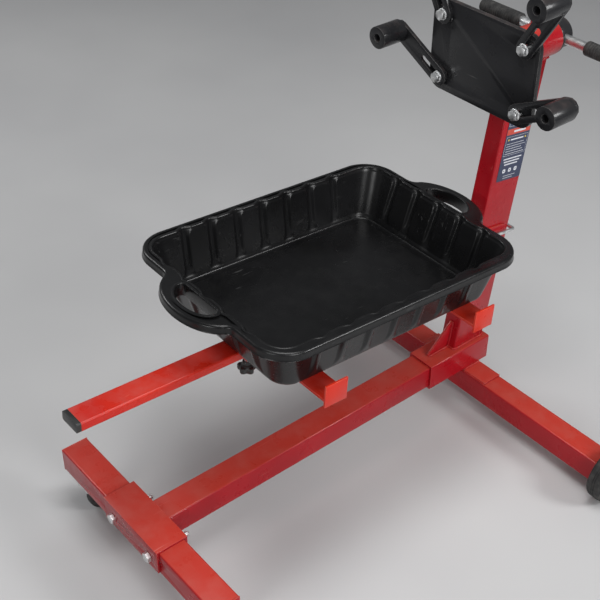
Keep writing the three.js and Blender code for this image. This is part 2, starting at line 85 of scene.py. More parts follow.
class Finish:
    """A principled material that nodes are added to, on coordinates that ride with the piece."""

    def __init__(self, name, color, roughness, metallic=0.0, coat=0.0, coat_roughness=0.1):
        self.material = bpy.data.materials.new(name)
        self.material.use_nodes = True
        self.tree = self.material.node_tree
        self.shader = self.tree.nodes["Principled BSDF"]
        self.shader.inputs["Base Color"].default_value = (*color, 1)
        self.shader.inputs["Roughness"].default_value = roughness
        self.shader.inputs["Metallic"].default_value = metallic
        self.shader.inputs["Coat Weight"].default_value = coat
        self.shader.inputs["Coat Roughness"].default_value = coat_roughness
        place = self.tree.nodes.new("ShaderNodeTexCoord")
        self.place = place.outputs["Object"]
        self.normal = place.outputs["Normal"]

    def node(self, kind, inputs, output=0, **settings):
        made = self.tree.nodes.new("ShaderNode" + kind)
        for key, value in settings.items():
            setattr(made, key, value)
        for key, value in inputs.items():
            if isinstance(value, bpy.types.NodeSocket):
                self.tree.links.new(value, made.inputs[key])
            else:
                made.inputs[key].default_value = value
        return made.outputs[output]

    def noise(self, scale, detail=2.0, stretch=None):
        """Noise of that many features a metre, drawn out by stretch."""
        place = self.place
        if stretch:
            place = self.node("Mapping", {"Vector": place, "Scale": stretch})
        return self.node(
            "TexNoise",
            {"Vector": place, "Scale": scale, "Detail": detail, "Roughness": 0.55},
        )

    def spread(self, value, low, high, to_low=0.0, to_high=1.0):
        """value taken from low..high to to_low..to_high, and held there outside."""
        return self.node(
            "MapRange",
            {"Value": value, "From Min": low, "From Max": high,
             "To Min": to_low, "To Max": to_high},
        )

    def math(self, operation, first, second):
        return self.node("Math", {0: first, 1: second}, operation=operation)

    def mix(self, factor, first, second):
        inputs = {0: factor}
        for index, color in ((6, first), (7, second)):
            inputs[index] = color if isinstance(color, bpy.types.NodeSocket) else (*color, 1)
        return self.node("Mix", inputs, output=2, data_type="RGBA")

    def edges(self, radius):
        """1 on sharp edges, 0 on flats."""
        rounded = self.node("Bevel", {"Radius": radius}, samples=4)
        flat = self.node("NewGeometry", {}, output=1)
        facing = self.node(
            "VectorMath", {0: rounded, 1: flat}, output=1, operation="DOT_PRODUCT")
        return self.spread(facing, 0.995, 0.9)

    def facing_up(self):
        return self.spread(self.node("SeparateXYZ", {0: self.normal}, output=2), 0.6, 0.98)

    def bump(self, height, distance, strength=1.0, below=None):
        inputs = {"Height": height, "Distance": distance, "Strength": strength}
        if below:
            inputs["Normal"] = below
        return self.node("Bump", inputs)

    def set(self, **links):
        for key, value in links.items():
            self.tree.links.new(value, self.shader.inputs[key.replace("_", " ")])
        return self.material


def paint(name, color, shade, worn, grain, painted_top_sheen=None):
    """Glossy enamel: orange peel, slight mottling, dust on top, a painted sheen on upward faces,
    edges paler as worn paint and as a painted highlight, scratches.
    """
    f = Finish(name, color, 0.3, coat=0.16, coat_roughness=0.1)
    f.shader.inputs["Specular IOR Level"].default_value = 0.24
    mottle = f.spread(f.noise(7, 3), 0.35, 0.7)
    tone = f.mix(mottle, color, shade)
    dusty = f.math("MULTIPLY", f.facing_up(), f.spread(f.noise(28, 5), 0.42, 0.75, 0, 0.12))
    tone = f.mix(dusty, tone, (0.42, 0.3, 0.27))
    # Painted sheen: faces that look up are mixed towards a lighter red, standing in for light
    # reflected on the tops.
    if painted_top_sheen:
        tone = f.mix(f.math("MULTIPLY", f.facing_up(), 0.4), tone, painted_top_sheen)
    scratch = f.spread(f.noise(1.0, 2, stretch=grain), 0.67, 0.75)
    patches = f.spread(f.noise(11, 2), 0.5, 0.62)
    scratch = f.math("MULTIPLY", scratch, patches)
    tone = f.mix(f.math("MULTIPLY", scratch, 0.45), tone, worn)
    # Edge wear: edges go towards the pale worn colour, partly real worn paint and partly a painted
    # edge highlight.
    edge_wear_and_highlight = f.math("MULTIPLY", f.edges(0.0013), f.spread(f.noise(60, 4), 0.3, 0.62))
    tone = f.mix(f.math("MULTIPLY", edge_wear_and_highlight, 0.7), tone, worn)
    gloss = f.spread(f.noise(20, 4), 0.3, 0.75, 0.22, 0.4)
    gloss = f.math("ADD", gloss, f.math("MULTIPLY", dusty, 0.8))
    peel = f.bump(f.noise(420, 2), 0.00018, 0.35)
    cuts = f.bump(f.math("MULTIPLY", scratch, -1.0), 0.0001, 0.5, below=peel)
    return f.set(Base_Color=tone, Roughness=gloss, Normal=cuts)


def zinc_plate(name, color, dark):
    """Bright zinc: cloudy passivation, fine grain, dull spots."""
    f = Finish(name, color, 0.3, metallic=1.0)
    cloud = f.spread(f.noise(45, 4), 0.35, 0.7)
    tone = f.mix(cloud, color, dark)
    spots = f.spread(f.noise(260, 3), 0.62, 0.72)
    tone = f.mix(f.math("MULTIPLY", spots, 0.5), tone, (0.22, 0.2, 0.17))
    gloss = f.spread(f.noise(90, 3), 0.3, 0.7, 0.28, 0.5)
    grain = f.bump(f.noise(900, 2), 0.00005, 0.5)
    return f.set(Base_Color=tone, Roughness=gloss, Normal=grain)


def plastic(name, color, low, high, grain_scale, grain_depth, dust, shine=0.5):
    """Moulded plastic: fine grain, cloudy sheen, scuffs and a little dust on top."""
    f = Finish(name, color, low)
    f.shader.inputs["Specular IOR Level"].default_value = shine
    cloud = f.spread(f.noise(9, 4), 0.3, 0.72)
    tone = f.mix(cloud, color, tuple(2.1 * c for c in color))
    film = f.math("MULTIPLY", f.facing_up(), f.spread(f.noise(34, 6), 0.45, 0.8, 0, dust))
    tone = f.mix(film, tone, (0.3, 0.29, 0.27))
    scuff = f.spread(f.noise(1.0, 3, stretch=(240, 26, 60)), 0.66, 0.74)
    scuff = f.math("MULTIPLY", scuff, f.spread(f.noise(6, 2), 0.48, 0.66))
    tone = f.mix(f.math("MULTIPLY", scuff, 0.12), tone, (0.35, 0.35, 0.35))
    gloss = f.spread(f.noise(14, 4), 0.3, 0.7, low, high)
    gloss = f.math("ADD", gloss, f.math("MULTIPLY", scuff, 0.2))
    grain = f.bump(f.noise(grain_scale, 2), grain_depth, 0.5)
    return f.set(Base_Color=tone, Roughness=gloss, Normal=grain)


def tyre_rubber(name, color):
    """Solid rubber: matt, greyed by dust where it rolls."""
    f = Finish(name, color, 0.75)
    tone = f.mix(f.spread(f.noise(70, 5), 0.4, 0.75, 0, 0.5), color, (0.09, 0.085, 0.08))
    gloss = f.spread(f.noise(50, 3), 0.3, 0.7, 0.6, 0.9)
    return f.set(Base_Color=tone, Roughness=gloss, Normal=f.bump(f.noise(700, 3), 0.0002, 0.6))


def printed(name, color, worn):
    """Flat print on a foil label, with fine speckle."""
    f = Finish(name, color, 0.35, coat=0.3)
    tone = f.mix(f.spread(f.noise(320, 3), 0.55, 0.75, 0, 0.25), color, worn)
    gloss = f.spread(f.noise(80, 3), 0.3, 0.7, 0.28, 0.45)
    return f.set(Base_Color=tone, Roughness=gloss, Normal=f.bump(f.noise(500, 2), 0.00004, 0.4))


DEEP_RED, DARK_RED, PALE_RED = (0.37, 0.007, 0.013), (0.3, 0.004, 0.009), (0.68, 0.19, 0.16)
BRIGHT_RED, MID_RED, PALE_ORANGE = (0.56, 0.024, 0.009), (0.47, 0.014, 0.009), (0.8, 0.26, 0.16)
# Lighter red for the painted sheen on upward faces.
PAINTED_SHEEN_RED = (0.6, 0.085, 0.045)
GRAIN_X, GRAIN_Y, GRAIN_Z = (9, 420, 420), (420, 9, 420), (420, 420, 9)
red_along_x = paint("red_paint_cross", DEEP_RED, DARK_RED, PALE_RED, GRAIN_X, PAINTED_SHEEN_RED)
red_along_y = paint("red_paint_spine", DEEP_RED, DARK_RED, PALE_RED, GRAIN_Y, PAINTED_SHEEN_RED)
red_along_z = paint("red_paint_post", DEEP_RED, DARK_RED, PALE_RED, GRAIN_Z, PAINTED_SHEEN_RED)
orange_along_y = paint("orange_paint_bar", BRIGHT_RED, MID_RED, PALE_ORANGE, GRAIN_Y)
orange_along_x = paint("orange_paint_arm", BRIGHT_RED, MID_RED, PALE_ORANGE, GRAIN_X)
black_enamel = paint(
    "black_paint_head", (0.018, 0.018, 0.02), (0.012, 0.012, 0.013), (0.24, 0.23, 0.22), GRAIN_X)
zinc = zinc_plate("zinc_plate", (0.88, 0.89, 0.9), (0.7, 0.7, 0.69))
tray_plastic = plastic(
    "tray_plastic", (0.0042, 0.0042, 0.0045), 0.22, 0.34, 1100, 0.00004, 0.01, shine=0.36)
knob_plastic = plastic("knob_plastic", (0.012, 0.012, 0.012), 0.3, 0.48, 1400, 0.00008, 0.1)
wheel_plastic = plastic("wheel_plastic", (0.03, 0.03, 0.032), 0.4, 0.6, 900, 0.0001, 0.15)
rubber = tyre_rubber("rubber", (0.016, 0.016, 0.016))
label_navy = printed("label_navy", (0.015, 0.024, 0.066), (0.04, 0.055, 0.11))
label_white = printed("label_white", (0.62, 0.64, 0.68), (0.4, 0.42, 0.46))
label_red = printed("label_red", (0.5, 0.045, 0.02), (0.6, 0.2, 0.15))
label_yellow = printed("label_yellow", (0.62, 0.45, 0.04), (0.5, 0.4, 0.2))


# ---- shapes ----


class Shape:
    """Points in millimetres and faces, each face with the number of its finish."""

    def __init__(self):
        self.points = []
        self.faces = []
        self.finishes = []

    def add(self, points, faces, place=Matrix(), finish=0):
        start = len(self.points)
        self.points += [place @ Vector(point) for point in points]
        for face in faces:
            self.faces.append([start + index for index in face])
            self.finishes.append(finish)

    def skin(self, rings, place=Matrix(), caps=True, loop=False):
        """Joins closed rings of points in turn; caps close both ends, loop joins them."""
        count, rows = len(rings[0]), len(rings)
        faces = []
        for row in range(rows if loop else rows - 1):
            here, there = row * count, (row + 1) % rows * count
            for i in range(count):
                j = (i + 1) % count
                faces.append((here + i, here + j, there + j, there + i))
        if caps and not loop:
            faces.append(range(count - 1, -1, -1))
            faces.append(range((rows - 1) * count, rows * count))
        self.add([point for ring in rings for point in ring], faces, place)

    def turned(self, profile, place=Matrix(), segments=48, loop=False):
        """A profile of (radius, height) points turned round local Z."""
        rings = [circle(radius, height, segments) for radius, height in profile]
        self.skin(rings, place, loop=loop)

    def block(self, low, high, place=Matrix()):
        """A box with chamfered edges, as four stacked outlines."""
        x0, y0, z0 = low
        x1, y1, z1 = high
        e = 0.8

        def outline(inset, z):
            a, b, c, d = x0 + inset, x1 - inset, y0 + inset, y1 - inset
            return [(a + e, c, z), (b - e, c, z), (b, c + e, z), (b, d - e, z),
                    (b - e, d, z), (a + e, d, z), (a, d - e, z), (a, c + e, z)]

        self.skin(
            [outline(e, z0), outline(0, z0 + e), outline(0, z1 - e), outline(e, z1)], place)

    def plate(self, outline, z0, z1, place=Matrix(), finish=0):
        """A flat plate between two heights."""
        triangles = tessellate_polygon([[Vector((x, y, 0)) for x, y in outline]])
        count = len(outline)
        points = [(x, y, z) for z in (z0, z1) for x, y in outline]
        faces = [tuple(t) for t in triangles] + [tuple(count + i for i in t) for t in triangles]
        for a in range(count):
            b = (a + 1) % count
            faces.append((a, b, count + b, count + a))
        self.add(points, faces, place, finish)

    def build(self, name, body, materials, replaces=(), angle=38):
        """Makes the piece in metres, smooth except over angle degrees, riding its body."""
        mesh = bpy.data.meshes.new(name)
        scaled = [point / METRE for point in self.points]
        mesh.from_pydata(scaled, [], self.faces)
        mesh.polygons.foreach_set("material_index", self.finishes)
        for material in materials if isinstance(materials, list) else [materials]:
            mesh.materials.append(material)
        work = bmesh.new()
        work.from_mesh(mesh)
        bmesh.ops.remove_doubles(work, verts=work.verts, dist=1e-6)
        bmesh.ops.recalc_face_normals(work, faces=work.faces)
        work.to_mesh(mesh)
        work.free()
        mesh.polygons.foreach_set("use_smooth", [True] * len(mesh.polygons))
        mesh.set_sharp_from_angle(angle=math.radians(angle))
        piece = bpy.data.objects.new(name, mesh)
        bpy.context.scene.collection.objects.link(piece)
        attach(piece, body)
        if replaces:
            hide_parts(*replaces)
        return piece


def circle(radius, z, segments):
    step = 2 * math.pi / segments
    return [(radius * math.cos(i * step), radius * math.sin(i * step), z)
            for i in range(segments)]


def hexagon_rings(across, low, high):
    """A hexagon bar whose upper corners are turned off at 30 degrees."""
    inner = across / 2
    sixth = math.pi / 3
    segments = 48

    def ring(z, drop):
        points = []
        for i in range(segments):
            angle = 2 * math.pi * i / segments
            off = (angle + sixth / 2) % sixth - sixth / 2
            radius = inner / math.cos(off)
            fall = (radius - inner) * math.tan(math.radians(30)) if drop else 0
            points.append((radius * math.cos(angle), radius * math.sin(angle), z - fall))
        return points

    return [ring(low, False), ring(high - 0.4, True), circle(inner * 0.95, high, segments)]


def thread(radius, low, high, pitch=1.6):
    """Profile of a threaded end, from low to high, with a chamfered tip."""
    profile = []
    z = low
    while z < high - pitch:
        profile += [(radius, z), (radius - 0.55, z + pitch / 2)]
        z += pitch
    return profile + [(radius, high - pitch), (radius - 1.2, high)]


def bolt(shape, place, across, head, shank, length, washer=0.0, nut_at=None, nut=0.0):
    """A hex bolt whose head's seat is at local 0 and whose shank runs towards -Z."""
    seat = 0.0
    if washer:
        wide = across * 0.62
        shape.turned(
            [(wide - 0.5, 0), (wide, 0.4), (wide, washer - 0.4), (wide - 0.5, washer)], place)
        seat = washer
    shape.skin(hexagon_rings(across, seat, seat + head), place)
    tip = 24.0 if nut_at is None else nut + 14
    profile = [(shank, 0.5), (shank, tip - length)]
    profile += [(r, -z) for r, z in thread(shank, length - tip, length)]
    shape.turned(profile, place, segments=32)
    if nut_at is not None:
        flip = place @ move(z=nut_at) @ turn(180, "X")
        shape.skin(hexagon_rings(across, 0, nut), flip)


def tube_along(path, radius, segments, ripple=0.0, pitch=3.0):
    """Rings round a path, for rods and weld beads; ripple makes the scales of a bead."""
    rings = []
    run = 0.0
    side = None
    for i, point in enumerate(path):
        before = path[max(i - 1, 0)]
        after = path[min(i + 1, len(path) - 1)]
        ahead = (after - before).normalized()
        if side is None:
            side = ahead.orthogonal()
        side = (side - ahead * side.dot(ahead)).normalized()
        up = ahead.cross(side)
        if i:
            run += (point - path[i - 1]).length
        size = radius * (1 + ripple * math.cos(2 * math.pi * run / pitch))
        ring = []
        for k in range(segments):
            angle = 2 * math.pi * k / segments
            ring.append(point + size * (math.cos(angle) * side + math.sin(angle) * up))
        rings.append(ring)
    return rings


def fine_path(points, step):
    """The points of a line through the given ones, at most step apart."""
    path = [Vector(points[0])]
    for start, end in zip(points, points[1:]):
        start, end = Vector(start), Vector(end)
        count = max(1, round((end - start).length / step))
        path += [start.lerp(end, k / count) for k in range(1, count + 1)]
    return path


def weld(name, body, material, runs, radius):
    """Weld beads under the paint, each run a line of points in millimetres."""
    shape = Shape()
    for run in runs:
        path = fine_path(run, 0.8)
        shape.skin(tube_along(path, radius, 10, ripple=0.1, pitch=3.6))
    return shape.build(name, body, material, angle=60)


# ---- CAD nodes that stay ----


def smoother():
    """A geometry group that shades smooth, and sharp over an angle."""
    group = bpy.data.node_groups.new("smooth_by_angle", "GeometryNodeTree")
    group.interface.new_socket("Geometry", in_out="INPUT", socket_type="NodeSocketGeometry")
    group.interface.new_socket("Geometry", in_out="OUTPUT", socket_type="NodeSocketGeometry")
    start = group.nodes.new("NodeGroupInput")
    end = group.nodes.new("NodeGroupOutput")
    faces = group.nodes.new("GeometryNodeSetShadeSmooth")
    faces.domain = "FACE"
    faces.inputs["Shade Smooth"].default_value = True
    sharp = group.nodes.new("GeometryNodeSetShadeSmooth")
    sharp.domain = "EDGE"
    sharp.inputs["Shade Smooth"].default_value = False
    angle = group.nodes.new("GeometryNodeInputMeshEdgeAngle")
    over = group.nodes.new("FunctionNodeCompare")
    over.data_type = "FLOAT"
    over.operation = "GREATER_THAN"
    over.inputs[1].default_value = math.radians(33)
    link = group.links.new
    link(start.outputs[0], faces.inputs["Geometry"])
    link(faces.outputs[0], sharp.inputs["Geometry"])
    link(angle.outputs[0], over.inputs[0])
    link(over.outputs[0], sharp.inputs["Selection"])
    link(sharp.outputs[0], end.inputs[0])
    return group


smooth_group = smoother()


def dress(material, *nodes, edge=0.8):
    """Gives CAD nodes their finish, and rounds and smooths their edges by modifiers."""
    for name in nodes:
        node = frame["nodes"][name]
        node.data.materials.clear()
        node.data.materials.append(material)
        merge = node.modifiers.new("merge", "WELD")
        merge.merge_threshold = 1e-5
        flats = node.modifiers.new("flats", "DECIMATE")
        flats.decimate_type = "DISSOLVE"
        flats.angle_limit = math.radians(0.4)
        if edge:
            bevel = node.modifiers.new("edges", "BEVEL")
            bevel.width = edge / METRE
            bevel.segments = 2
            bevel.limit_method = "ANGLE"
            bevel.angle_limit = math.radians(50)
            bevel.use_clamp_overlap = True
        smooth = node.modifiers.new("smooth", "NODES")
        smooth.node_group = smooth_group


# ---- frames the leaning and pitched pieces share ----

sleeve_low, sleeve_high = corners("sleeve")
post_foot = Vector((0, corners("post")[0].y, sleeve_high.z))
POST_LEAN = 8.0
post_frame = Matrix.Translation(post_foot) @ turn(-POST_LEAN, "X")

front_knob, rear_knob = at("tray_knob_front_turn"), at("tray_knob_rear_turn")
along_bar = (rear_knob - front_knob).normalized()
BAR_PITCH = -math.degrees(math.asin(along_bar.z))
bar_axes = turn(-BAR_PITCH, "X")
KNOB_BELOW_BAR_TOP, REAR_KNOB_ALONG = 60, -102.5
carrier_origin = (
    rear_knob - along_bar * REAR_KNOB_ALONG + bar_axes @ Vector((0, 0, KNOB_BELOW_BAR_TOP)))
carrier_frame = Matrix.Translation(carrier_origin) @ bar_axes
TRAY_PLACE, TRAY_YAW = (-22, -267, 5.6), -0.8
tray_frame = carrier_frame @ move(*TRAY_PLACE) @ turn(TRAY_YAW, "Z")


# ---- drip tray ----

TRAY_DEPTH, TRAY_WALL = 110.7, 3.0
FLOOR_HALF, TOP_HALF = (190.0, 262.5), (211.0, 293.0)
FLOOR_CORNER, TOP_CORNER = 40.0, 44.0
RIM_HALF, RIM_CORNER, RIM_LIP = (231.5, 311.0), 70.0, 17.0
HANDLE_HALF, HANDLE_REACH, HANDLE_OVERLAP = 102.0, 53.0, 12.0
RIB_PITCH, RIB_DEPTH, RIB_HALF = 63.0, 5.0, 11.0
LONG_RIBS = [RIB_PITCH * k - 9 for k in range(-3, 4)]
SHORT_RIBS = [RIB_PITCH * k for k in range(-2, 3)]
LONG_REACH, SHORT_REACH = 220, 148
CORNER_STEPS = 14
RIB_STEPS = [0.0, 0.12, 0.24, 0.36, 0.48, 0.58, 0.68, 0.78, 0.88, 0.97, 1.06]
RIB_FOOT = ((30, 0.9, 11), (25, 0.75, 12), (19, 0.5, 14), (14.5, 0.28, 17), (11, 0.1, 20))


def rib_share(step, flat):
    """How deep a rib is, 0 to 1, at a share of its half width from its flat middle."""
    flank = min(max((abs(step) - flat) / (1 - flat), 0), 1)
    return 0.5 + 0.5 * math.cos(math.pi * flank)


def wall_line(ribs, reach, half_width, flat):
    """(place, share of rib depth) along a straight wall, close together at the ribs."""
    steps = [-step for step in reversed(RIB_STEPS[1:])] + RIB_STEPS
    line = [(-reach, 0.0)]
    for rib in ribs:
        if rib != ribs[0]:
            line.append((rib - RIB_PITCH / 2, 0.0))
        line += [(rib + step * half_width, rib_share(step, flat)) for step in steps]
    return [*line, (reach, 0.0)]


def tray_ring(inset, z, rib=0.0, half_width=RIB_HALF, halves=None, flat=0.2):
    """One closed outline of the tray's wall: inset moves it inwards, ribs bulge out of it."""
    share = min(max(z / TRAY_DEPTH, 0), 1)
    x_half, y_half = halves or tuple(
        a + (b - a) * share for a, b in zip(FLOOR_HALF, TOP_HALF))
    x_half, y_half = x_half - inset, y_half - inset
    corner = max(FLOOR_CORNER + (TOP_CORNER - FLOOR_CORNER) * share - inset, 8.0)
    centre_x, centre_y = x_half - corner, y_half - corner
    ring = []
    for quarter in range(4):
        flip = 1 if quarter in (0, 1) else -1
        if quarter % 2 == 0:
            line = wall_line(LONG_RIBS, LONG_REACH, half_width, flat)
            for y, depth in line if flip > 0 else reversed(line):
                ring.append((flip * (x_half + rib * depth), y, z))
        else:
            for x, depth in wall_line(SHORT_RIBS, SHORT_REACH, half_width, flat):
                ring.append((-flip * x, flip * (y_half + rib * depth), z))
        start = math.pi / 2 * quarter
        sign_x = 1 if math.cos(start + math.pi / 4) > 0 else -1
        sign_y = 1 if math.sin(start + math.pi / 4) > 0 else -1
        for k in range(CORNER_STEPS + 1):
            angle = start + math.pi / 2 * k / CORNER_STEPS
            ring.append((sign_x * centre_x + corner * math.cos(angle),
                         sign_y * centre_y + corner * math.sin(angle), z))
    return ring


def rim_outline():
    """The rim seen from above: a rounded rectangle with a handle swelling at each end."""
    half_x, half_y = RIM_HALF
    quarter = []
    for k in range(21):
        angle = math.pi / 2 * k / 20
        quarter.append((half_x - RIM_CORNER + RIM_CORNER * math.cos(angle),
                        half_y - RIM_CORNER + RIM_CORNER * math.sin(angle)))
    notch = 14.0
    first = math.radians(24)
    base, rise = half_y - HANDLE_OVERLAP, HANDLE_REACH + HANDLE_OVERLAP
    meet = (HANDLE_HALF * math.cos(first), base + rise * math.sin(first))
    bend = (HANDLE_HALF - 3, half_y)
    for k in range(9):
        t = k / 9
        a, b, c = (1 - t) ** 2, 2 * t * (1 - t), t * t
        quarter.append((a * (HANDLE_HALF + notch) + b * bend[0] + c * meet[0],
                        a * half_y + b * bend[1] + c * meet[1]))
    for k in range(0, 25):
        angle = first + (math.pi / 2 - first) * k / 24
        quarter.append((HANDLE_HALF * math.cos(angle), base + rise * math.sin(angle)))
    left = [(-x, y) for x, y in reversed(quarter[:-1])]
    end = quarter + left
    return end + [(-x, -y) for x, y in end]


def offset_loop(loop, distance):
    """A closed loop of (x, y) moved outwards, to the right of its run."""
    moved = []
    count = len(loop)
    for i in range(count):
        (ax, ay), (bx, by) = loop[i - 1], loop[(i + 1) % count]
        dx, dy = bx - ax, by - ay
        size = math.hypot(dx, dy)
        moved.append((loop[i][0] + dy / size * distance, loop[i][1] - dx / size * distance))
    return moved


def grip_hole(sign):
    """The D-shaped finger hole in a handle, its straight side towards the tray."""
    half, inner, outer, round_off = 56.0, 304.0, 344.0, 8.0
    points = []
    for k in range(-8, 9):
        points.append(((half - round_off) * k / 8, inner))
    for k in range(1, 7):
        angle = -math.pi / 2 + math.pi / 2 * k / 6
        points.append((half - round_off + round_off * math.cos(angle),
                       inner + round_off + round_off * math.sin(angle)))
    for k in range(1, 30):
        angle = math.pi * k / 30
        points.append((half * math.cos(angle),
                       inner + round_off + (outer - inner - round_off) * math.sin(angle)))
    for k in range(6):
        angle = math.pi + math.pi / 2 * k / 6
        points.append((-half + round_off + round_off * math.cos(angle),
                       inner + round_off + round_off * math.sin(angle)))
    return [(sign * x, sign * y) for x, y in points]


def basin_inside():
    """Rings from the rim's top, over its scalloped edge and down the wall to the floor."""
    top = TRAY_DEPTH
    inner = TRAY_WALL
    rings = []
    for inset, rise in ((-5, 0), (-3, 0), (-2.2, 0.1), (-1.2, 0.7), (-0.2, 1), (0.8, 0.9),
                        (1.8, 0.2), (2.5, -1), (2.9, -2.4), (3, -4)):
        rings.append(tray_ring(inset, top + rise, RIB_DEPTH + 1, 20, halves=TOP_HALF, flat=0))
    for z, half_width, flat in (
            (top - 6.5, 17, 0), (top - 9, 14, 0.1), (top - 12, 12, 0.2), (top - 16, 11, 0.2),
            (top - 22, 11, 0.2), (72, 11, 0.2), (50, 11, 0.2), (36, 11, 0.2)):
        taper = 2 * (z - 36) / (top - 36)
        rings.append(tray_ring(inner, z, RIB_DEPTH + taper, half_width, flat=flat))
    for z, share, half_width in RIB_FOOT:
        rings.append(tray_ring(inner, z, RIB_DEPTH * share, half_width))
    for extra, z in ((0, 8), (0.2, 6.2), (0.9, 4.6), (2, 3.6), (3.4, 3.1), (5, 3), (14, 3), (15, 3.2),
                     (15.8, 3.9), (16.6, 4.5), (17.8, 4.8), (20, 4.8), (23, 4.8)):
        rings.append(tray_ring(inner + extra, z, halves=FLOOR_HALF, half_width=20))
    return rings


def basin_outside():
    rings = [tray_ring(0, TRAY_DEPTH - 3, RIB_DEPTH + 2, 14)]
    for z, share, half_width in ((80, 1.4, 12), (56, 1.2, 12), (38, 1, 12), *RIB_FOOT):
        rings.append(tray_ring(0, z, RIB_DEPTH * share, half_width))
    for inset, z in ((0.2, 7), (1.2, 4.5), (3.6, 1.4), (7.5, 0.1), (12, 0), (16, 0)):
        rings.append(tray_ring(inset, z, half_width=20))
    return rings


def build_tray():
    shape = Shape()
    top = TRAY_DEPTH
    inside, outside = basin_inside(), basin_outside()
    for rings in (inside, outside):
        shape.skin(rings, tray_frame, caps=False)
        shape.add(rings[-1], [range(len(rings[-1]))], tray_frame)

    edge = rim_outline()
    holes = [grip_hole(1), grip_hole(-1)]
    lip = [(-10, 0), (-7, 0), (-5.4, -0.1), (-3.8, -0.5), (-2.3, -1.3), (-1.1, -2.5), (-0.4, -4),
           (-0.1, -6), (0, -8), (0.3, -13), (1, -15.8), (1.3, 0.6 - RIM_LIP), (0.8, -RIM_LIP),
           (-0.9, -RIM_LIP), (-1.4, 0.5 - RIM_LIP), (-2.6, -12), (-3, -6), (-5, -3), (-7, -3),
           (-10, -3)]
    bead = [(8, 0), (6, 0), (4.8, 0.3), (3.6, 0.9), (2.2, 1.1), (1, 0.8), (0.2, 0), (0, -1.2),
            (-0.4, -25), (0.2, -26), (1.6, -26), (2.2, -25), (2.6, -3), (6, -3), (8, -3)]
    mouth = [(x, y) for x, y, z in inside[0]]
    under = [(x, y) for x, y, z in outside[0]]
    for z, opening in ((top, mouth), (top - 3, under)):
        loops = [offset_loop(edge, lip[0][0]), opening,
                 *[offset_loop(hole, bead[0][0]) for hole in holes]]
        every = [(x, y, z) for loop in loops for x, y in loop]
        triangles = tessellate_polygon(
            [[Vector((x, y, 0)) for x, y in loop] for loop in loops])
        shape.add(every, [tuple(t) for t in triangles], tray_frame)
    for loop, profile in ((edge, lip), *((hole, bead) for hole in holes)):
        shape.skin(
            [[(x, y, top + rise) for x, y in offset_loop(loop, out)] for out, rise in profile],
            tray_frame, caps=False)
    return shape.build(
        "tray_shell", "drip_tray", tray_plastic, ["drip_tray", "tray_rim"],
        angle=60)


build_tray()


# ---- wheels ----


def spoked_wheel(body, node, place, tyre, hub, spokes, reach, tyre_name, hub_name):
    """A solid tyre and a moulded hub with ribs on both sides, turned on local Z."""
    ring = Shape()
    ring.turned(tyre, place, segments=96, loop=True)
    ring.build(tyre_name, body, rubber, [node])
    core = Shape()
    core.turned(hub, place, segments=64, loop=True)
    inner, outer, depth, thick = reach
    for k in range(spokes):
        spin = place @ turn(360 / spokes * k, "Z")
        core.block((inner, -thick / 2, -depth), (outer, thick / 2, depth), spin)
    core.build(hub_name, body, wheel_plastic)


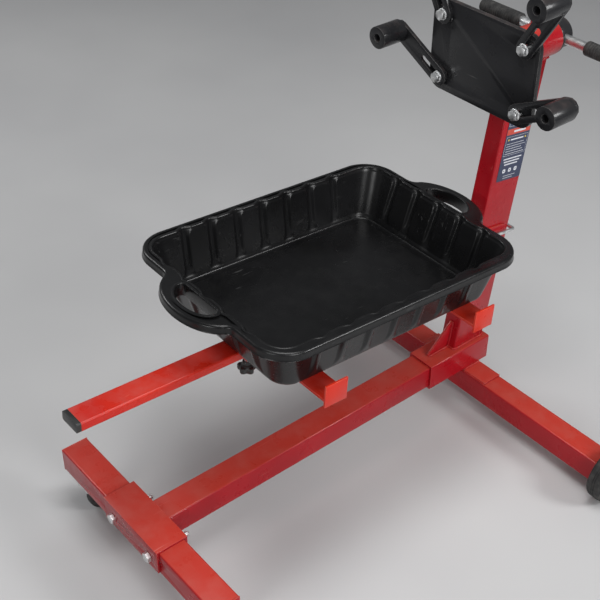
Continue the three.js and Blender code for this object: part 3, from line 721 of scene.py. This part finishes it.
for side, sign in SIDES:
    centre = at(f"rear_wheel_{side}_roll")
    facing = Matrix.Translation(centre) @ turn(90 * sign, "Y")
    spoked_wheel(
        f"rear_wheel_{side}", f"rear_wheel_{side}", facing,
        [(46.5, -17), (50, -18), (56, -18), (60, -16.4), (62, -13), (62.5, -9), (62.5, -3.6),
         (61.3, -3), (61.3, -1.8), (62.5, -1.2), (62.5, 1.2), (61.3, 1.8), (61.3, 3),
         (62.5, 3.6), (62.5, 9), (62, 13), (60, 16.4), (56, 18), (50, 18), (46.5, 17)],
        [(8.3, -20), (18.5, -20), (20, -18.5), (21.5, -8), (24, -5), (39, -5), (42, -8),
         (43.5, -17), (46.5, -17.5), (46.5, 17.5), (43.5, 17), (42, 8), (39, 5), (24, 5),
         (21.5, 8), (20, 18.5), (18.5, 20), (8.3, 20)],
        8, (19, 43.5, 14, 3.2), f"rear_tyre_{side}", f"rear_hub_{side}")
    centre = at(f"caster_wheel_{side}_roll")
    facing = Matrix.Translation(centre) @ ALONG_X
    spoked_wheel(
        f"caster_wheel_{side}", f"caster_wheel_{side}", facing,
        [(28.2, -10), (31, -11), (34.5, -10.4), (36.8, -8), (37.5, -4.5), (37.5, 4.5),
         (36.8, 8), (34.5, 10.4), (31, 11), (28.2, 10)],
        [(4.3, -12), (10.5, -12), (12, -10.8), (13, -4), (15, -2.5), (23.5, -2.5), (25, -4),
         (26, -9.5), (28.2, -10.4), (28.2, 10.4), (26, 9.5), (25, 4), (23.5, 2.5), (15, 2.5),
         (13, 4), (12, 10.8), (10.5, 12), (4.3, 12)],
        6, (11, 26, 7.5, 2.2), f"caster_tyre_{side}", f"caster_hub_{side}")

    low, high = corners(f"rear_axle_{side}")
    axle = Shape()
    inner_end = low.x if sign > 0 else high.x
    out = Matrix.Translation((inner_end, *at(f"rear_wheel_{side}_roll").yz)) @ turn(
        90 * sign, "Y")
    span = high.x - low.x
    axle.turned([(13, 0), (14, 0.8), (14, 2.8), (13, 3.6)], out)
    axle.turned([(8, 1), (8, span - 17), *thread(8, span - 16, span)], out, segments=40)
    axle.turned([(14.5, span - 13.2), (15.2, span - 12.8), (15.2, span - 11.4),
                 (14.5, span - 11)], out)
    axle.skin(hexagon_rings(24, span - 11.4, span - 3), out)
    axle.build(f"rear_axle_bolt_{side}", "frame", zinc, [f"rear_axle_{side}"])

    low, high = corners(f"caster_axle_{side}")
    axle = Shape()
    hub = at(f"caster_wheel_{side}_roll")
    inward = Matrix.Translation(hub) @ ALONG_X
    axle.skin(hexagon_rings(13, 17.8, 22.5), inward)
    axle.skin(hexagon_rings(13, 17.8, 22.5), Matrix.Translation(hub) @ turn(-90, "Y"))
    axle.turned([(4, -20), (4, 20)], inward, segments=32)
    axle.build(f"caster_axle_bolt_{side}", f"caster_{side}", zinc,
               [f"caster_axle_{side}"])

    swivel = at(f"caster_{side}_swivel")
    plate_low, plate_high = corners(f"caster_plate_{side}")
    rivets = Shape()
    for x in (-31, 31):
        for y in (-21, 21):
            spot = move(swivel.x + x, swivel.y + y, plate_high.z - 3) @ turn(180, "X")
            rivets.skin(hexagon_rings(10, 0, 4.5), spot)
    rivets.build(f"caster_plate_screws_{side}", "frame", zinc)
    crown = corners(f"caster_fork_{side}")[1].z
    race = Shape()
    bowl = move(swivel.x, swivel.y, crown)
    race.turned([(20.4, -0.2), (22.4, -1.2), (23, -2.8), (22.4, -4.4), (20.4, -5.4)], bowl)
    race.turned([(0.5, -8.2), (6.4, -8.4), (7, -9.6), (6.4, -12), (0.5, -12.6)], bowl)
    race.build(f"caster_race_{side}", f"caster_{side}", zinc)


# ---- fasteners ----

for side, sign in SIDES:
    low, high = corners(f"saddle_bolt_{side}")
    middle = (low + high) / 2
    shape = Shape()
    out = Matrix.Translation((middle.x, low.y + 8, middle.z)) @ turn(90, "X")
    saddle_back = corners("saddle")[1].y
    bolt(shape, out, 19, 8, 6, high.y - low.y - 8, nut_at=low.y + 8 - saddle_back - 0.3,
         nut=11)
    shape.build(f"saddle_bolt_set_{side}", "frame", zinc, [f"saddle_bolt_{side}"])

for place in ("lower_right", "lower_left", "upper_right", "upper_left"):
    low, high = corners(f"arm_bolt_{place}")
    pivot = at(f"arm_{place}_swing")
    shape = Shape()
    seat = low.y + 10.5
    out = Matrix.Translation((pivot.x, seat, pivot.z)) @ turn(90, "X")
    plate_back = corners("flange_plate")[1].y
    bolt(shape, out, 19, 8, 6, high.y - seat, washer=2.5, nut_at=seat - plate_back - 0.3,
         nut=10)
    shape.build(f"arm_bolt_set_{place}", f"arm_bolt_{place}", zinc,
                [f"arm_bolt_{place}"])

low, high = corners("sleeve_screw")
shape = Shape()
middle = (low + high) / 2
down = Matrix.Translation((middle.x, middle.y, low.z + 7)) @ turn(180, "X")
bolt(shape, down, 17, 7, 5, high.z - low.z - 7)
shape.build("sleeve_clamp_screw", "frame", zinc, ["sleeve_screw"])


# ---- tray carrier's hardware ----

U_HALF, U_ROD, U_HEIGHT, U_BACK, U_FRONT, U_BEND = 36.0, 4.0, 296.0, 96.8, -24.3, 6.5


def u_path():
    """Along the left leg, round the post's back and along the right leg."""
    path = [Vector((-U_HALF, U_FRONT, U_HEIGHT)),
            Vector((-U_HALF, U_BACK - U_BEND, U_HEIGHT))]
    inner = U_HALF - U_BEND
    quarter = [math.pi / 2 * k / 8 for k in range(1, 9)]
    for angle in quarter:
        path.append(Vector((-inner - U_BEND * math.cos(angle),
                            U_BACK - U_BEND * (1 - math.sin(angle)), U_HEIGHT)))
    path.append(Vector((inner, U_BACK, U_HEIGHT)))
    for angle in quarter:
        path.append(Vector((inner + U_BEND * math.sin(angle),
                            U_BACK - U_BEND * (1 - math.cos(angle)), U_HEIGHT)))
    path.append(Vector((U_HALF, U_FRONT, U_HEIGHT)))
    return path


shape = Shape()
shape.skin(tube_along(u_path(), U_ROD, 20), post_frame)
for sign in (-1, 1):
    seat = post_frame @ move(sign * U_HALF, -6.6, U_HEIGHT) @ turn(90, "X")
    shape.turned([(8, 0), (8.6, 0.4), (8.6, 1.2), (8, 1.6)], seat, segments=32)
    shape.skin(hexagon_rings(13, 1.4, 7), seat)
    shape.turned([(3.9, 7), *thread(4.15, 7.2, 18, pitch=1.25)], seat, segments=24)
shape.build("tray_u_bolt_rod", "carrier", zinc, ["tray_u_bolt"])


def star(radius, depth, lobes, z, segments=80):
    points = []
    for i in range(segments):
        angle = 2 * math.pi * i / segments
        wave = math.cos(lobes * angle)
        size = radius + depth * (wave if wave > 0 else 1.2 * wave)
        points.append((size * math.cos(angle), size * math.sin(angle), z))
    return points


for end in ("front", "rear"):
    middle = Matrix.Translation(at(f"tray_knob_{end}_turn")) @ bar_axes
    shape = Shape()
    crown = [(13, 1.6, -13), (15.4, 2.1, -12.4), (16.6, 2.4, -10.4), (16.6, 2.4, -3.2),
             (15.6, 2.2, -1), (13.4, 1.6, 0)]
    shape.skin([star(r, d, 5, z) for r, d, z in crown], middle)
    shape.turned([(12.5, -0.6), (11, 1.5), (9, 3.2), (8.8, 9), (8, 10)], middle)
    shape.turned([(6, -14.2), (9, -14), (10.5, -12.8), (10.5, -12)], middle)
    shape.build(f"tray_knob_star_{end}", f"tray_knob_{end}", knob_plastic,
                [f"tray_knob_{end}"])
    stud = Shape()
    stud.turned([(5, 8), (5, 12), *thread(5, 12.5, 39, pitch=1.5)], middle, segments=28)
    stud.build(f"tray_knob_stud_{end}", f"tray_knob_{end}", zinc)


# ---- head ----

axis_z = at("head_turn").z
low, high = corners("turning_handle")
mid_y = (low.y + high.y) / 2
rod = Matrix.Translation((0, mid_y, axis_z)) @ ALONG_X
shape = Shape()
reach = high.x
shape.turned([(8.6, -reach), (10, 1.4 - reach), (10, reach - 1.4), (8.6, reach)], rod,
             segments=40)
shape.build("turning_bar", "handle", zinc, ["turning_handle"])
for side, sign in SIDES:
    low, high = corners(f"handle_grip_{side}")
    start, end = (low.x, high.x) if sign > 0 else (high.x, low.x)
    length = abs(end - start)
    profile = [(10.3, 0), (14, 0), (15, 1.5), (15, 6)]
    z = 8.0
    while z < length - 12:
        profile += [(15, z), (14.2, z + 1), (14.2, z + 2.4), (15, z + 3.4)]
        z += 6.0
    profile += [(15, length - 6), (14.2, length - 2), (11.5, length - 0.2), (10.3, length)]
    grip = Shape()
    grip.turned(profile, Matrix.Translation((start, mid_y, axis_z)) @ turn(90 * sign, "Y"),
                segments=48)
    grip.build(f"handle_sleeve_{side}", "handle", rubber, [f"handle_grip_{side}"])

low, high = corners("lock_pin")
centre = (low + high) / 2
pin = Matrix.Translation((centre.x, centre.y, low.z))
rise = high.z - low.z
shape = Shape()
shape.turned([(4.6, 0), (6, 1.6), (6, rise - 15), (9, rise - 14), (10.4, rise - 12.4),
              (10.4, rise - 1.2), (9.4, rise)], pin, segments=40)
shape.turned([(3.6, -26), (5, -24.6), (5, 24.6), (3.6, 26)],
             Matrix.Translation((centre.x, centre.y, high.z - 5)) @ ALONG_X, segments=32)
shape.build("lock_pin_pull", "lock_pin", zinc, ["lock_pin"])


# ---- label ----


def build_label():
    """A foil label with blank blocks where a printed one has its words and signs."""
    face = 22.3
    place = post_frame @ Matrix(((0, 0, 1, 0), (1, 0, 0, 0), (0, 1, 0, 0), (0, 0, 0, 1)))
    across0, across1, foot, top = 15.0, 89.0, 420.0, 585.0

    def patch(a0, a1, b0, b1, z, finish, corner=1.0):
        points = []
        for cx, cy, start in ((a1 - corner, b0 + corner, -90), (a1 - corner, b1 - corner, 0),
                              (a0 + corner, b1 - corner, 90), (a0 + corner, b0 + corner, 180)):
            for k in range(5):
                angle = math.radians(start + 90 * k / 4)
                points.append((cx + corner * math.cos(angle), cy + corner * math.sin(angle)))
        shape.plate(points, z - 0.12, z, place, finish)

    shape = Shape()
    patch(across0, across1, foot, top, face + 0.4, 0, corner=3)
    navy, white, red, yellow = range(4)
    face += 0.4
    patch(across0 + 1, across1 - 1, 526, 539, face + 0.05, red)
    patch(across0 + 22, across1 - 16, 530, 534.5, face + 0.1, white)
    patch(across0 + 3, across1 - 3, 545, 581, face + 0.05, white, corner=2)
    patch(across0 + 3.7, across1 - 3.7, 545.7, 580.3, face + 0.1, navy, corner=2)
    for row in range(3):
        patch(across0 + 9, across1 - 9 - 12 * row, 570 - 9 * row, 573 - 9 * row, face + 0.14,
              white, corner=0.8)
    patch(across0 + 3, across1 - 3, 478, 521, face + 0.05, white, corner=2)
    patch(across0 + 3.6, across1 - 3.6, 478.6, 520.4, face + 0.1, navy, corner=2)
    patch(across0 + 17, across1 - 17, 512.5, 515.5, face + 0.14, white, corner=0.8)
    for edge in (across0 + 9, across1 - 13):
        patch(edge, edge + 4, 512, 516, face + 0.14, yellow)
    for row in range(5):
        patch(across0 + 7, across1 - 8 - 5 * (row % 3), 482 + 5.6 * row, 483 + 5.6 * row,
              face + 0.14, white, corner=0.4)
    for row in range(3):
        patch(across0 + 8 + 3 * row, across1 - 9 - 5 * row, 468.6 - 6.4 * row,
              471.4 - 6.4 * row, face + 0.08, white, corner=0.8)
    for column in range(3):
        start = across0 + 13 + 18 * column
        patch(start, start + 9, 438, 447, face + 0.08, white, corner=3)
        patch(start + 3, start + 6, 441, 444, face + 0.12, navy)
    for row in range(2):
        patch(across0 + 18, across1 - 18 - 8 * row, 430 - 5 * row, 431 - 5 * row, face + 0.08,
              white, corner=0.4)
    shape.build("post_label_foil", "frame", [label_navy, label_white, label_red, label_yellow],
                ["post_label"])


build_label()


# ---- welds ----

POST_HALF, POST_DEPTH, POST_CORNER = 22.0, 93.4, 4.0


def post_foot_run():
    """Round the post's foot on top of the sleeve."""
    x, y0, y1, z, c = POST_HALF, post_foot.y, post_foot.y + POST_DEPTH, post_foot.z, POST_CORNER
    spots = [(-3.6, y0), (c - x, y0), (-x, y0 + c), (-x, y1 - c), (c - x, y1), (x - c, y1),
             (x, y1 - c), (x, y0 + c), (x - c, y0), (3.6, y0)]
    return [(a, b, z + 0.8) for a, b in spots]


gusset_low, gusset_high = corners("gusset")
gusset_runs = []
for sign in (-1, 1):
    x = sign * (gusset_high.x + 0.8)
    foot = gusset_low.z + 0.6
    heel = post_foot.y
    rise = math.tan(math.radians(POST_LEAN)) * (gusset_high.z - gusset_low.z)
    gusset_runs.append([(x, gusset_low.y + 1, foot), (x, heel - 1.5, foot)])
    gusset_runs.append([(x, heel - 0.6, foot + 1), (x, heel - 0.6 + rise, gusset_high.z - 1)])
weld("post_foot_weld", "frame", red_along_z, [post_foot_run()], 2.8)
weld("gusset_weld", "frame", red_along_z, gusset_runs, 2.2)

HEAD_TUBE_RADIUS = 38.0
side_z = axis_z - math.sqrt(HEAD_TUBE_RADIUS**2 - POST_HALF**2)
post_at_head = post_foot.y + math.tan(math.radians(POST_LEAN)) * (side_z - post_foot.z)
head_runs = []
for y in (post_at_head - 0.6, post_at_head + POST_DEPTH + 0.6):
    arc = []
    for k in range(-10, 11):
        x = POST_HALF * k / 10
        arc.append((x, y, axis_z - math.sqrt((HEAD_TUBE_RADIUS + 0.6) ** 2 - x**2)))
    head_runs.append(arc)
for sign in (-1, 1):
    x = sign * (POST_HALF + 0.6)
    head_runs.append([(x, post_at_head, side_z - 0.4), (x, post_at_head + POST_DEPTH, side_z - 0.4)])
weld("head_tube_weld", "frame", red_along_z, head_runs, 2.8)

plate_low, plate_high = corners("rear_plate")
rear_top = corners("rear_cross_tube")[1].z
rear_runs = []
for y, out in ((plate_low.y, -0.6), (plate_high.y, 0.6)):
    for start, end in ((plate_low.x + 2, sleeve_low.x - 2), (sleeve_high.x + 2, plate_high.x - 2)):
        rear_runs.append([(start, y + out, rear_top + 0.6), (end, y + out, rear_top + 0.6)])
weld("rear_plate_weld", "frame", red_along_x, rear_runs, 2.2)
sleeve_runs = []
for sign in (-1, 1):
    x = sign * (sleeve_high.x + 0.6)
    sleeve_runs.append([(x, plate_low.y + 2, plate_high.z + 0.6),
                        (x, plate_high.y - 2, plate_high.z + 0.6)])
weld("sleeve_weld", "frame", red_along_y, sleeve_runs, 2.4)


# ---- carried-over CAD nodes ----

dress(red_along_y, "spine_tube", "sleeve", "saddle", "gusset", edge=0.7)
dress(red_along_x, "front_cross_tube", "rear_cross_tube", "rear_plate", "front_end_plate_left",
      "front_end_plate_right", "rear_end_plate_left", "rear_end_plate_right", edge=0.7)
dress(red_along_z, "post", "tray_bracket", "head_tube", edge=0.7)
dress(orange_along_y, "tray_bar", edge=0.5)
dress(orange_along_x, "tray_arm_front", "tray_arm_rear", edge=0.6)
dress(black_enamel, "head_shaft", "flange_plate", edge=0.7)
for place in ("lower_right", "lower_left", "upper_right", "upper_left"):
    dress(black_enamel, f"arm_{place}", f"finger_{place}", edge=1.0)
for side, sign in SIDES:
    dress(zinc, f"caster_plate_{side}", f"caster_fork_{side}", edge=0.5)
dress(knob_plastic, "tray_bar_cap", edge=1.2)


# ---- floor, lights and camera ----


def add_floor():
    """A wide pale floor."""
    mesh = bpy.data.meshes.new("studio_floor")
    work = bmesh.new()
    bmesh.ops.create_grid(work, x_segments=2, y_segments=2, size=9)
    work.to_mesh(mesh)
    work.free()
    f = Finish("studio_floor", (0.55, 0.55, 0.55), 0.6)
    tone = f.mix(f.spread(f.noise(1.2, 3), 0.3, 0.7), (0.56, 0.56, 0.56), (0.5, 0.5, 0.505))
    mesh.materials.append(f.set(Base_Color=tone))
    floor = bpy.data.objects.new("studio_floor", mesh)
    bpy.context.scene.collection.objects.link(floor)


def add_light(name, place, target, size, power, size_y=None):
    lamp = bpy.data.lights.new(name, "AREA")
    lamp.energy = power
    lamp.size = size
    if size_y:
        lamp.shape = "RECTANGLE"
        lamp.size_y = size_y
    light = bpy.data.objects.new(name, lamp)
    light.location = place
    light.rotation_euler = (Vector(target) - Vector(place)).to_track_quat("-Z", "Y").to_euler()
    bpy.context.scene.collection.objects.link(light)


def add_camera():
    """The camera stands at azimuth 50.2, looks 37 degrees down and is turned by a hair."""
    azimuth, elevation, roll = math.radians(50.22), math.radians(37.03), math.radians(-0.43)
    ahead = Vector((-math.sin(azimuth) * math.cos(elevation),
                    math.cos(azimuth) * math.cos(elevation), -math.sin(elevation)))
    right = Vector((math.cos(azimuth), math.sin(azimuth), 0))
    down = ahead.cross(right)
    rolled_right = right * math.cos(roll) + down * math.sin(roll)
    rolled_down = -right * math.sin(roll) + down * math.cos(roll)
    camera = bpy.data.cameras.new("camera")
    camera.lens = 68.68
    camera.sensor_width = 36
    view = bpy.data.objects.new("camera", camera)
    axes = Matrix((rolled_right, -rolled_down, -ahead)).transposed().to_4x4()
    view.matrix_world = Matrix.Translation((1.3410, -1.2035, 1.8134)) @ axes
    bpy.context.scene.collection.objects.link(view)
    bpy.context.scene.camera = view


add_floor()
add_light("key", (2.6, 1.7, 2.3), (0, 0, 0.45), 0.9, 54)
add_light("side", (3.1, -0.7, 1.7), (0, 0, 0.45), 1.2, 42)
add_light("front", (1.1, -3.2, 1.2), (0, 0, 0.5), 1.0, 22)
add_light("top", (0.4, -0.1, 3.2), (0, 0, 0), 1.4, 46)
add_light("left", (-2.9, -1.0, 2.4), (0, 0, 0.4), 1.0, 28)
add_camera()
world = bpy.data.worlds.new("studio")
bpy.context.scene.world = world
world.use_nodes = True
world.node_tree.nodes["Background"].inputs["Color"].default_value = (0.9, 0.92, 0.95, 1)
world.node_tree.nodes["Background"].inputs["Strength"].default_value = 0.17
bpy.context.scene.view_settings.view_transform = "Standard"
